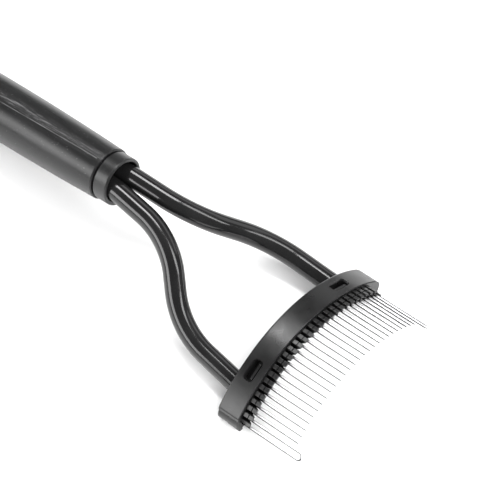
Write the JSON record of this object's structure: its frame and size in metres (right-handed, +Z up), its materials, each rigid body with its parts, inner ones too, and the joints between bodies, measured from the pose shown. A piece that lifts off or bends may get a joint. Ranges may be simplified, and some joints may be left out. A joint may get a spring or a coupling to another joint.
{
  "type": "dematting comb",
  "caption": "Grooming comb with a long black grip, a fork of bent tubes and an arched head with a row of straight steel pins and a hairpin loop at each end.",
  "frame": {"origin": "bottom centre of the bounding box, on the surface that the comb lies on", "axes": "+X from the grip to the pins' tips, +Y to the left seen from the grip, +Z up with the comb lying on its two feet and the end of its grip"},
  "size_m": [0.2944, 0.0992, 0.047],
  "materials": {
    "grip": "satin black, lightly scuffed along its length",
    "collar": "satin black",
    "head": "satin moulded black",
    "tube_enamel": "gloss black enamel on steel tube",
    "pin_steel": "polished stainless wire",
    "screw_steel": "zinc plated",
    "inner_steel": "plain",
    "inner_plastic": "matte black"
  },
  "bodies": {
    "root": {"handle_grip": "grip", "rear_cap": "grip", "front_collar": "collar", "handle_liner": "inner_steel", "tube_wedge_upper": "inner_plastic", "tube_wedge_lower": "inner_plastic", "fork_cross_pin": "inner_steel", "fork_tube_left": "tube_enamel", "fork_tube_right": "tube_enamel", "head_shell": "head", "head_base": "head", "pin_carrier": "head", "socket_pin_left": "inner_steel", "socket_pin_right": "inner_steel", "base_screw_left": "screw_steel", "base_screw_right": "screw_steel", "end_loop_left": "pin_steel", "end_loop_right": "pin_steel", "pin_01": "pin_steel", "pin_02": "pin_steel", "pin_03": "pin_steel", "pin_04": "pin_steel", "pin_05": "pin_steel", "pin_06": "pin_steel", "pin_07": "pin_steel", "pin_08": "pin_steel", "pin_09": "pin_steel", "pin_10": "pin_steel", "pin_11": "pin_steel", "pin_12": "pin_steel", "pin_13": "pin_steel", "pin_14": "pin_steel", "pin_15": "pin_steel", "pin_16": "pin_steel", "pin_17": "pin_steel", "pin_18": "pin_steel", "pin_19": "pin_steel", "pin_20": "pin_steel", "pin_21": "pin_steel", "pin_22": "pin_steel", "pin_23": "pin_steel", "pin_24": "pin_steel", "pin_25": "pin_steel", "pin_26": "pin_steel", "pin_27": "pin_steel"}
  },
  "joints": []
}
